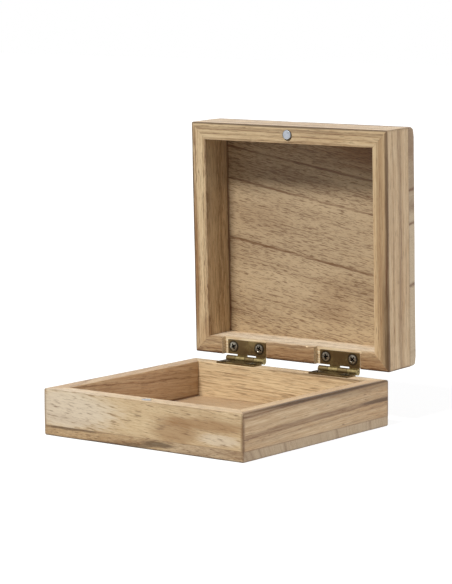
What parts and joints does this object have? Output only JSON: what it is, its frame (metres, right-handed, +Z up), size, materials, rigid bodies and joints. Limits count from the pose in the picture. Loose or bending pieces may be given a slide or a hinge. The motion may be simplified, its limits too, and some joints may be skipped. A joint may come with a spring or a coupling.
{
  "type": "hinged wooden box",
  "caption": "Small square wooden keepsake box with a flat lid on butt hinges, mitred corners and magnets in the rims that hold it shut.",
  "frame": {"origin": "middle of the base's underside, which stands on the table", "axes": "+X across the box to the right, -Y to the front edge that opens, +Z up"},
  "size_m": [0.1, 0.1194, 0.1214],
  "materials": {
    "wall_wood": "bare sanded wood with long open pores",
    "panel_wood": "bare sanded wood with arched growth rings",
    "hinge_brass": "dark antique brass, worn bright on the barrel",
    "hinge_screws": "dark bronzed steel",
    "magnet_plating": "dull nickel plate"
  },
  "bodies": {
    "base": {"base_front_wall": "wall_wood", "base_back_wall": "wall_wood", "base_left_wall": "wall_wood", "base_right_wall": "wall_wood", "base_panel": "panel_wood", "base_magnet": "magnet_plating", "left_hinge_base_leaf": "hinge_brass", "left_hinge_pin": "hinge_brass", "left_hinge_base_screws": "hinge_screws", "right_hinge_base_leaf": "hinge_brass", "right_hinge_pin": "hinge_brass", "right_hinge_base_screws": "hinge_screws"},
    "lid": {"lid_front_wall": "wall_wood", "lid_back_wall": "wall_wood", "lid_left_wall": "wall_wood", "lid_right_wall": "wall_wood", "lid_panel": "panel_wood", "lid_magnet": "magnet_plating", "left_hinge_lid_leaf": "hinge_brass", "left_hinge_lid_screws": "hinge_screws", "right_hinge_lid_leaf": "hinge_brass", "right_hinge_lid_screws": "hinge_screws"}
  },
  "joints": [
    {"name": "lid_hinge", "type": "hinge", "parent": "base", "child": "lid", "pos_m": [0, 0.0511, 0.0203], "axis": [-1, 0, 0], "range_deg": [-88.4, 91.6]}
  ]
}
